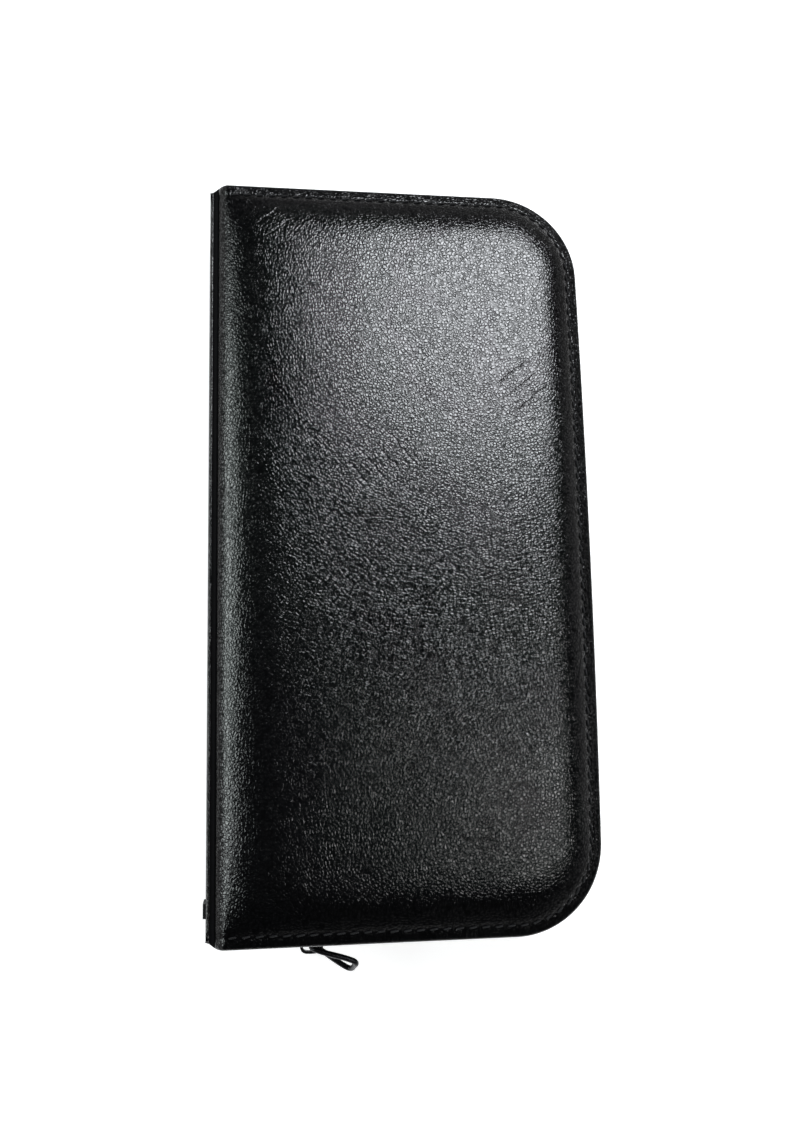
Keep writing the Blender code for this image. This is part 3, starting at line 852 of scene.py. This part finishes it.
def add_tooth(points, faces, station, mirror):
    """One turn of the coil, its two ends narrowed so that its edges are round."""
    x, y, out_x, out_y = station
    first = len(points)
    middle_inset = sum(inset for inset, _ in TOOTH_OUTLINE) / len(TOOTH_OUTLINE)
    middle_z = sum(z for _, z in TOOTH_OUTLINE) / len(TOOTH_OUTLINE)
    steps = ((-0.5, 0.72), (-0.36, 1.0), (0.36, 1.0), (0.5, 0.72))
    for along, scale in steps:
        slide = along * TOOTH_WIDTH
        for inset, z in TOOTH_OUTLINE:
            depth = middle_inset + (inset - middle_inset) * scale
            height = middle_z + (z - middle_z) * (1 - (1 - scale) * 0.3)
            points.append(mirror((x - out_x * depth + out_y * slide, y - out_y * depth - out_x * slide,
                                  height)))
    columns = len(TOOTH_OUTLINE)
    faces += grid_faces(len(steps), columns, first, wrap=True)
    faces.append(tuple(range(first, first + columns)))
    last = first + (len(steps) - 1) * columns
    faces.append(tuple(range(last, last + columns)))


def build_coil(side, mirror, offset):
    """The teeth of one coil and the cord they are wound round."""
    points = []
    faces = []
    for station in zip_stations(0.0, -35.6, -30.3, TOOTH_PITCH / 2)[offset::2]:
        add_tooth(points, faces, station, mirror)
    teeth = make_mesh(f"{side}_coil_teeth", points, faces, finish["coil"])
    place_on(teeth, f"{side}_cover", "coil", f"{side}_zip_coil")
    sections = []
    for x, y, out_x, out_y in zip_stations(0.0, -35.9, -30.1, 1.6):
        sections.append([mirror((x - out_x * inset, y - out_y * inset, z)) for inset, z in CORD_OUTLINE])
    cord = loft(f"{side}_coil_core", sections, finish["tape"])
    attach(cord, f"{side}_cover")


for side, mirror, offset in (("rear", front_side, 0), ("front", rear_side, 1)):
    tape = sweep_zip_sides(f"{side}_tape_cloth", TAPE_OUTLINE, finish["tape"], mirror, -41.5, -41.5, 1.5)
    place_on(tape, f"{side}_cover", "tape", f"{side}_zip_tape")
    build_coil(side, mirror, offset)


# Pen loops: elastic bands arched over each pen, sewn down between the arches

LOOP_COUNT = 4
LOOP_PITCH = 19.0
LOOP_HALF_WIDTH = 6.7
LOOP_HEIGHT = 12.0
LOOP_SQUARENESS = 0.7
ELASTIC = 0.7
BAND_WIDTH = 20.0
BAND_HALF_LENGTH = 38.5
BAND_Z = 7.5


def loop_face(half_width, base_z):
    """One face of a band, along the case's width."""
    steps = 30
    face = [(-BAND_HALF_LENGTH, base_z)]
    for i in range(LOOP_COUNT):
        centre_x = (i - (LOOP_COUNT - 1) / 2) * LOOP_PITCH
        for k in range(steps + 1):
            turn = pi * k / steps
            across = -cos(turn)
            reach = half_width * abs(across) ** LOOP_SQUARENESS
            rise = LOOP_HEIGHT * abs(sin(turn)) ** LOOP_SQUARENESS
            face.append((centre_x + (reach if across > 0 else -reach), base_z + rise))
    face.append((BAND_HALF_LENGTH, base_z))
    return face


def loop_band(name, centre_y):
    edge = 0.25
    near = centre_y - BAND_WIDTH / 2
    far = centre_y + BAND_WIDTH / 2
    sections = []
    top = loop_face(LOOP_HALF_WIDTH + ELASTIC, BAND_Z + ELASTIC)
    bottom = loop_face(LOOP_HALF_WIDTH, BAND_Z)
    for (top_x, top_z), (low_x, low_z) in zip(top, bottom):
        section = []
        for y, share in ((near + edge, 0.0), (far - edge, 0.0), (far, 0.3), (far, 0.7), (far - edge, 1.0),
                         (near + edge, 1.0), (near, 0.7), (near, 0.3)):
            section.append((top_x + (low_x - top_x) * share, y, top_z + (low_z - top_z) * share))
        sections.append(section)
    return loft(name, sections, finish["elastic"])


def straight_stations(start, end, spacing):
    """Points along a straight seam, with the way out to its left."""
    start = Vector(start)
    end = Vector(end)
    count = int((end - start).length / spacing)
    along = (end - start).normalized()
    return [(*(start + (end - start) * ((i + 0.5) / count)), -along.y, along.x) for i in range(count)]


BAND_CENTRE_Y = 38.0
PANEL_HALF_X = 39.0
PANEL_HALF_Y = 72.0
PANEL_Z = (6.6, 7.3)
band_seams = []
for name, centre_y in (("upper_pen_loops", BAND_CENTRE_Y), ("lower_pen_loops", -BAND_CENTRE_Y)):
    place_on(loop_band(f"{name}_elastic", centre_y), "rear_cover", "elastic", name)
    for seam_x in (-37.2, -19.6, -18.4, -0.6, 0.6, 18.4, 19.6, 37.2):
        band_seams += straight_stations((seam_x, centre_y - 9.2), (seam_x, centre_y + 9.2), 2.3)
stitched_line("pen_loop_stitches", band_seams, lambda x, y: BAND_Z + ELASTIC, "rear_cover", front_side,
              length=1.6, radius=0.2)


def rounded_rectangle(half_x, half_y, corner, centre=(0.0, 0.0)):
    steps = 8
    outline = []
    for quarter, (sign_x, sign_y) in enumerate(((1, 1), (-1, 1), (-1, -1), (1, -1))):
        for i in range(steps + 1):
            turn = pi / 2 * (quarter + i / steps)
            outline.append((centre[0] + sign_x * (half_x - corner) + corner * cos(turn),
                            centre[1] + sign_y * (half_y - corner) + corner * sin(turn)))
    return outline


def flat_patch(name, half, corner, centre, low, high, edge, material_used, mirror):
    """A rectangular layer with round corners and rounded edges."""
    rings = (
        (edge, low), (edge * 0.3, low + edge * 0.3), (0.0, low + edge),
        (0.0, high - edge), (edge * 0.3, high - edge * 0.3), (edge, high),
    )
    sections = []
    for shrink, z in rings:
        outline = rounded_rectangle(half[0] - shrink, half[1] - shrink, corner - shrink, centre)
        sections.append([mirror((x, y, z)) for x, y in outline])
    return loft(name, sections, material_used)


panel = flat_patch("pen_loop_backing", (PANEL_HALF_X, PANEL_HALF_Y), 3.0, (0.0, 0.0), *PANEL_Z, 0.25,
                   finish["smooth_leather"], front_side)
place_on(panel, "rear_cover", "leather", "pen_loop_panel")
seam_x = PANEL_HALF_X - 1.6
seam_y = PANEL_HALF_Y - 1.6
panel_seam = straight_stations((-seam_x + 1.5, seam_y), (seam_x - 1.5, seam_y), STITCH_PITCH)
panel_seam += straight_stations((seam_x - 1.5, -seam_y), (-seam_x + 1.5, -seam_y), STITCH_PITCH)
for sign in (-1, 1):
    for low_y, high_y in ((-seam_y, -49.0), (-27.0, 27.0), (49.0, seam_y)):
        panel_seam += straight_stations((sign * seam_x, low_y), (sign * seam_x, high_y), STITCH_PITCH)
stitched_line("panel_stitches", panel_seam, lambda x, y: PANEL_Z[1], "rear_cover", front_side)


# Slip pocket on the inside of the front cover, stitched round, its top seam further in from the edge

POCKET_CENTRE = (3.0, -25.0)
POCKET_HALF = (33.0, 55.0)
POCKET_Z = (6.6, 7.3)
pocket = flat_patch("slip_pocket_leather", POCKET_HALF, 2.0, POCKET_CENTRE, *POCKET_Z, 0.25,
                    finish["smooth_leather"], rear_side)
place_on(pocket, "front_cover", "leather", "front_slip_pocket")
pocket_left = POCKET_CENTRE[0] - POCKET_HALF[0] + 1.5
pocket_right = POCKET_CENTRE[0] + POCKET_HALF[0] - 1.5
pocket_low = POCKET_CENTRE[1] - POCKET_HALF[1] + 1.5
pocket_high = POCKET_CENTRE[1] + POCKET_HALF[1] - 3.5
pocket_seam = straight_stations((pocket_left, pocket_high), (pocket_left, pocket_low), STITCH_PITCH)
pocket_seam += straight_stations((pocket_left, pocket_low), (pocket_right, pocket_low), STITCH_PITCH)
pocket_seam += straight_stations((pocket_right, pocket_low), (pocket_right, pocket_high), STITCH_PITCH)
pocket_seam += straight_stations((pocket_right, pocket_high), (pocket_left, pocket_high), STITCH_PITCH)
stitched_line("pocket_stitches", pocket_seam, lambda x, y: POCKET_Z[1], "front_cover", rear_side)


# Divider flap, with a binding folded over its three free edges

FLAP_Z = (21.0, 22.2)
FLAP_INSET = 6.2
FLAP_LEFT_X = -40.2
BINDING_OUTLINE = [
    (7.5, 20.58), (5.3, 20.5), (4.85, 20.75), (4.7, 21.6), (4.85, 22.45), (5.3, 22.7), (7.5, 22.62),
    (7.5, 22.3), (5.9, 22.3), (5.9, 20.9), (7.5, 20.9),
]
flap = rounded_slab("divider_flap_cloth", FLAP_INSET, FLAP_LEFT_X, *FLAP_Z, 0.3, finish["lining"],
                    front_side)
place_on(flap, "divider", "lining", "divider_flap")
binding_outline = [(inset, z - RIM_Z) for inset, z in BINDING_OUTLINE]
binding = sweep_zip_sides("divider_binding", binding_outline, finish["smooth_leather"], front_side,
                          -40.0, -40.0)
place_on(binding, "divider", "leather", "divider_edge_binding")
binding_seam = zip_stations(6.7, -39.0, -39.0, STITCH_PITCH)
for face, mirror, z in (("upper", front_side, 22.62), ("lower", rear_side, TOP_Z - 20.58)):
    stitched_line(f"binding_{face}_stitches", binding_seam, lambda x, y: z, "divider", mirror)


# Zip pull: one loop of wire, twisted along its length, as in the CAD model

PULL_LENGTH = 11.0
PULL_HALF_WIDTH = 2.3
PULL_WIRE_RADIUS = 0.66
PULL_ANGLE = radians(26)
PULL_TWIST = radians(32)
PULL_CORNER = 1.1
PULL_PIN = Vector((-21.5, -91.9, MIDDLE_Z))


def pull_loop():
    """The loop before it is twisted, as (distance from the pin, offset across)."""
    corner_steps = 8
    leg_steps = 16
    far = PULL_LENGTH - PULL_CORNER
    inner = PULL_HALF_WIDTH - PULL_CORNER
    loop = []
    corners = ((far, inner, 0.0), (PULL_CORNER, inner, pi / 2), (PULL_CORNER, -inner, pi),
               (far, -inner, 1.5 * pi))
    for k, (along, across, first) in enumerate(corners):
        for i in range(corner_steps + 1):
            turn = first + pi / 2 * i / corner_steps
            loop.append((along + PULL_CORNER * cos(turn), across + PULL_CORNER * sin(turn)))
        if k in (0, 2):
            direction = -1 if k == 0 else 1
            edge = PULL_HALF_WIDTH if k == 0 else -PULL_HALF_WIDTH
            for i in range(1, leg_steps):
                slide = (far - PULL_CORNER) * i / leg_steps
                loop.append((along + direction * slide, edge))
    return loop


def pull_wire():
    along_axis = Vector((cos(PULL_ANGLE), -sin(PULL_ANGLE), 0.0))
    side_axis = Vector((-sin(PULL_ANGLE), -cos(PULL_ANGLE), 0.0))
    path = []
    for along, across in pull_loop():
        twist = PULL_TWIST * (1 - cos(pi * along / PULL_LENGTH)) / 2
        offset = side_axis * (across * sin(twist)) + Vector((0, 0, -across * cos(twist)))
        path.append(PULL_PIN + along_axis * along + offset)
    sides = 18
    sections = []
    normal = None
    for i, point in enumerate(path):
        tangent = (path[(i + 1) % len(path)] - path[i - 1]).normalized()
        if normal is None:
            normal = tangent.orthogonal()
        normal = (normal - tangent * normal.dot(tangent)).normalized()
        binormal = tangent.cross(normal)
        ring = []
        for j in range(sides):
            turn = 2 * pi * j / sides
            ring.append(point + (normal * cos(turn) + binormal * sin(turn)) * PULL_WIRE_RADIUS)
        sections.append(ring)
    return loft("pull_wire", sections, finish["metal"], closed=True)


place_on(pull_wire(), "pull", "metal", "zip_pull")


# Small pieces that keep the CAD node's own shape, with their edges rounded over

def softened(node, body, key, slot_name, width, length_share=1.0):
    """A node's own shape with rounded edges, which may be cut shorter along the case."""
    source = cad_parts[node]
    mesh = source.data.copy()
    mesh.transform(source.matrix_world)
    mesh.transform(Matrix.Diagonal((1.0, length_share, 1.0, 1.0)))
    mesh.materials.clear()
    mesh.materials.append(finish[key])
    piece = bpy.data.objects.new(f"{node}_rounded", mesh)
    bpy.context.scene.collection.objects.link(piece)
    rounding = piece.modifiers.new("rounding", "BEVEL")
    rounding.width = width * MM
    rounding.segments = 3
    rounding.limit_method = "ANGLE"
    rounding.angle_limit = radians(25)
    settle(piece)
    piece.data.shade_smooth()
    piece.data.set_sharp_from_angle(angle=radians(40))
    place_on(piece, body, slot_name, node)


for node, body, key, slot_name, width in (
    ("zip_slider_body", "slider", "metal", "metal", 0.22),
    ("zip_slider_bridge", "slider", "metal", "metal", 0.2),
    ("front_zip_top_stop", "front_cover", "metal", "metal", 0.25),
    ("rear_zip_top_stop", "rear_cover", "metal", "metal", 0.25),
    ("zip_bottom_stop", "rear_cover", "metal", "metal", 0.25),
    ("zip_tape_end_stub", "spine", "tape", "tape", 0.2),
    ("divider_hinge_strip", "spine", "smooth_leather", "leather", 0.2),
):
    softened(node, body, key, slot_name, width)
softened("spine_lining", "spine", "lining", "lining", 0.2, 0.985)
softened("spine_stiffener", "spine", "board", "board", 0.1, 0.965)


# Better finishes on the CAD nodes that stay

for node, key in (
    ("front_foam_pad", "foam"), ("rear_foam_pad", "foam"), ("front_stiffener_board", "board"),
    ("rear_stiffener_board", "board"),
):
    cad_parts[node].data.materials.clear()
    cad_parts[node].data.materials.append(finish[key])


# Stage, light and camera

def floor_material():
    made, tree, shader = new_material("pale_floor", (0.86, 0.86, 0.86), 0.9, specular=0.1)
    specks = noise(tree, millimetre_coordinates(tree), 0.05, 2.0)
    colour_between(tree, specks.outputs["Fac"], (0.84, 0.84, 0.845), (0.88, 0.88, 0.88),
                   shader.inputs["Base Color"])
    shader.inputs["Emission Color"].default_value = (1.0, 1.0, 1.0, 1.0)
    shader.inputs["Emission Strength"].default_value = 0.75
    return made


def build_stage():
    half = 1500.0
    corners = [(-half, -half, -0.2), (half, -half, -0.2), (half, half, -0.2), (-half, half, -0.2)]
    floor = make_mesh("floor", corners, [(0, 1, 2, 3)], floor_material())


def build_world():
    """Bright towards the horizon and dark overhead, so that the flat leather stays black."""
    world = bpy.data.worlds.new("studio")
    bpy.context.scene.world = world
    world.use_nodes = True
    tree = world.node_tree
    place = tree.nodes.new("ShaderNodeTexCoord")
    split = tree.nodes.new("ShaderNodeSeparateXYZ")
    tree.links.new(place.outputs["Generated"], split.inputs["Vector"])
    ramp = tree.nodes.new("ShaderNodeValToRGB")
    ramp.color_ramp.elements[0].position = 0.2
    ramp.color_ramp.elements[0].color = (1.0, 1.0, 1.0, 1.0)
    ramp.color_ramp.elements[1].position = 0.6
    ramp.color_ramp.elements[1].color = (0.0, 0.0, 0.0, 1.0)
    tree.links.new(split.outputs["Z"], ramp.inputs["Fac"])
    tree.links.new(ramp.outputs["Color"], tree.nodes["Background"].inputs["Color"])
    tree.nodes["Background"].inputs["Strength"].default_value = 0.5


def add_softbox(name, place, target, size, watts, colour):
    light = bpy.data.lights.new(name, "AREA")
    light.shape = "RECTANGLE"
    light.size = size[0]
    light.size_y = size[1]
    light.energy = watts
    light.color = colour
    lamp = bpy.data.objects.new(name, light)
    lamp.location = place
    aim = Vector(target) - Vector(place)
    lamp.rotation_euler = aim.to_track_quat("-Z", "Y").to_euler()
    bpy.context.scene.collection.objects.link(lamp)


def build_camera():
    """Nearly straight above the case, a little towards the lower end of the spine."""
    camera = bpy.data.cameras.new("camera")
    camera.sensor_width = 36.0
    camera.lens = 35.0
    eye = bpy.data.objects.new("camera", camera)
    eye.location = (-0.03694, -0.04377, RIM_Z * MM + 0.25435)
    eye.rotation_euler = (0.1549, -0.1386, -0.0201)
    bpy.context.scene.collection.objects.link(eye)
    bpy.context.scene.camera = eye


build_stage()
build_world()
add_softbox("key_softbox", (0.20, 0.35, 0.63), (0.02, 0.05, 0.03), (0.28, 0.28), 4.7, (0.93, 0.96, 1.0))
add_softbox("lower_softbox", (0.25, -0.11, 0.63), (0.03, -0.06, 0.03), (0.13, 0.13), 0.52, (1.0, 1.0, 1.0))
add_softbox("left_strip", (-0.50, 0.05, 0.42), (-0.04, 0.02, 0.03), (0.5, 0.14), 2.0, (0.92, 1.0, 0.99))
add_softbox("right_strip", (0.6, 0.05, 0.28), (0.04, 0.02, 0.03), (0.5, 0.12), 0.12, (1.0, 1.0, 1.0))
build_camera()
bpy.context.scene.view_settings.view_transform = "Standard"
